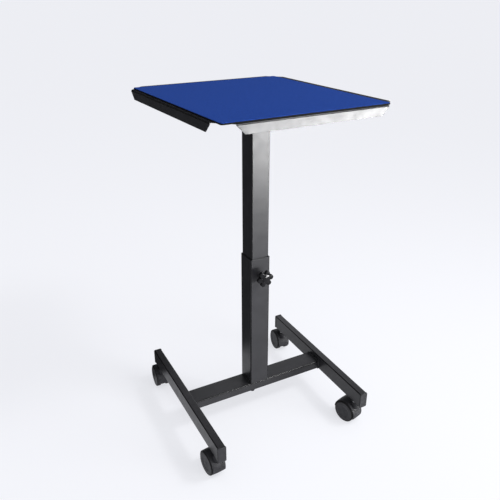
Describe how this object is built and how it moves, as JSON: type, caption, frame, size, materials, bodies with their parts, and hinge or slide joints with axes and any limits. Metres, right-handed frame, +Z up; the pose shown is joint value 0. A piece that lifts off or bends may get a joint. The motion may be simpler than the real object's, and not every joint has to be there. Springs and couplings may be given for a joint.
{
  "type": "audio visual cart",
  "caption": "Small mobile stand with a padded folded-steel tray on a height-adjustable square column, star-knob clamp and an H base on hooded twin-wheel casters.",
  "frame": {"origin": "on the floor, below the middle of the tray; the column stands 7 mm in front of it", "axes": "+Z up, -Y the front with the star knob, +X to the right along the crossbar"},
  "size_m": [0.3813, 0.4154, 0.7213],
  "materials": {
    "powder_coat": "charcoal powder coat, fine satin texture",
    "cap_plastic": "moulded black polyethylene, satin",
    "knob_plastic": "polished black phenolic",
    "caster_plastic": "moulded black nylon, satin",
    "wheel_plastic": "moulded black nylon, slightly scuffed tread",
    "zinc_steel": "zinc plated",
    "black_zinc": "black zinc plated",
    "mat_rubber": "black foam rubber backing",
    "mat_cloth": "blue woven polyester facing"
  },
  "bodies": {
    "base": {"left_rail": "powder_coat", "right_rail": "powder_coat", "front_left_end_cap": "cap_plastic", "back_left_end_cap": "cap_plastic", "front_right_end_cap": "cap_plastic", "back_right_end_cap": "cap_plastic", "crossbar": "powder_coat", "sleeve": "powder_coat", "foot_plate": "zinc_steel", "front_foot_washer": "black_zinc", "front_foot_bolt": "black_zinc", "back_foot_washer": "black_zinc", "back_foot_bolt": "black_zinc", "clamp_nut": "powder_coat", "front_left_stem": "zinc_steel", "front_left_stem_nut": "zinc_steel", "front_right_stem": "zinc_steel", "front_right_stem_nut": "zinc_steel", "back_left_stem": "zinc_steel", "back_left_stem_nut": "zinc_steel", "back_right_stem": "zinc_steel", "back_right_stem_nut": "zinc_steel"},
    "mast": {"mast_tube": "powder_coat", "mast_plug": "cap_plastic", "mount_plate": "powder_coat", "tray_bolt_1": "zinc_steel", "tray_bolt_2": "zinc_steel", "tray_bolt_3": "zinc_steel", "tray_bolt_4": "zinc_steel", "tray_nut_1": "zinc_steel", "tray_nut_2": "zinc_steel", "tray_nut_3": "zinc_steel", "tray_nut_4": "zinc_steel", "tray": "powder_coat", "mat_rubber": "mat_rubber", "mat_cloth": "mat_cloth"},
    "clamp_screw": {"clamp_stud": "zinc_steel"},
    "clamp_knob": {"knob": "knob_plastic", "knob_cap": "knob_plastic"},
    "front_left_caster": {"front_left_hood": "caster_plastic", "front_left_axle": "zinc_steel"},
    "front_left_wheel_a": {"front_left_wheel_a": "wheel_plastic"},
    "front_left_wheel_b": {"front_left_wheel_b": "wheel_plastic"},
    "front_right_caster": {"front_right_hood": "caster_plastic", "front_right_axle": "zinc_steel"},
    "front_right_wheel_a": {"front_right_wheel_a": "wheel_plastic"},
    "front_right_wheel_b": {"front_right_wheel_b": "wheel_plastic"},
    "back_left_caster": {"back_left_hood": "caster_plastic", "back_left_axle": "zinc_steel"},
    "back_left_wheel_a": {"back_left_wheel_a": "wheel_plastic"},
    "back_left_wheel_b": {"back_left_wheel_b": "wheel_plastic"},
    "back_right_caster": {"back_right_hood": "caster_plastic", "back_right_axle": "zinc_steel"},
    "back_right_wheel_a": {"back_right_wheel_a": "wheel_plastic"},
    "back_right_wheel_b": {"back_right_wheel_b": "wheel_plastic"}
  },
  "joints": [
    {"name": "mast_slide", "type": "slide", "parent": "base", "child": "mast", "axis": [0, 0, 1], "range_m": [-0.2, 0.035]},
    {"name": "clamp_travel", "type": "slide", "parent": "base", "child": "clamp_screw", "axis": [0, -1, 0], "range_m": [0, 0.0025]},
    {"name": "knob_turn", "type": "hinge", "parent": "clamp_screw", "child": "clamp_knob", "pos_m": [0, -0.05, 0.355], "axis": [0, -1, 0], "range_deg": [0, 720]},
    {"name": "front_left_swivel", "type": "hinge", "parent": "base", "child": "front_left_caster", "pos_m": [-0.171, -0.166, 0.05], "axis": [0, 0, 1], "continuous": true},
    {"name": "front_left_roll_a", "type": "hinge", "parent": "front_left_caster", "child": "front_left_wheel_a", "pos_m": [-0.17257, -0.14807, 0.025], "axis": [0.9962, 0.0872, 0], "continuous": true},
    {"name": "front_left_roll_b", "type": "hinge", "parent": "front_left_caster", "child": "front_left_wheel_b", "pos_m": [-0.17257, -0.14807, 0.025], "axis": [0.9962, 0.0872, 0], "continuous": true},
    {"name": "front_right_swivel", "type": "hinge", "parent": "base", "child": "front_right_caster", "pos_m": [0.171, -0.166, 0.05], "axis": [0, 0, 1], "continuous": true},
    {"name": "front_right_roll_a", "type": "hinge", "parent": "front_right_caster", "child": "front_right_wheel_a", "pos_m": [0.16634, -0.14861, 0.025], "axis": [0.9659, 0.2588, 0], "continuous": true},
    {"name": "front_right_roll_b", "type": "hinge", "parent": "front_right_caster", "child": "front_right_wheel_b", "pos_m": [0.16634, -0.14861, 0.025], "axis": [0.9659, 0.2588, 0], "continuous": true},
    {"name": "back_left_swivel", "type": "hinge", "parent": "base", "child": "back_left_caster", "pos_m": [-0.171, 0.152, 0.05], "axis": [0, 0, 1], "continuous": true},
    {"name": "back_left_roll_a", "type": "hinge", "parent": "back_left_caster", "child": "back_left_wheel_a", "pos_m": [-0.17006, 0.16998, 0.025], "axis": [0.9986, -0.0523, 0], "continuous": true},
    {"name": "back_left_roll_b", "type": "hinge", "parent": "back_left_caster", "child": "back_left_wheel_b", "pos_m": [-0.17006, 0.16998, 0.025], "axis": [0.9986, -0.0523, 0], "continuous": true},
    {"name": "back_right_swivel", "type": "hinge", "parent": "base", "child": "back_right_caster", "pos_m": [0.171, 0.152, 0.05], "axis": [0, 0, 1], "continuous": true},
    {"name": "back_right_roll_a", "type": "hinge", "parent": "back_right_caster", "child": "back_right_wheel_a", "pos_m": [0.17226, 0.16996, 0.025], "axis": [0.9976, -0.0698, 0], "continuous": true},
    {"name": "back_right_roll_b", "type": "hinge", "parent": "back_right_caster", "child": "back_right_wheel_b", "pos_m": [0.17226, 0.16996, 0.025], "axis": [0.9976, -0.0698, 0], "continuous": true}
  ],
  "couplings": [
    {"joint": "knob_turn", "follows": "clamp_travel", "rad_per_m": 5026.5}
  ]
}
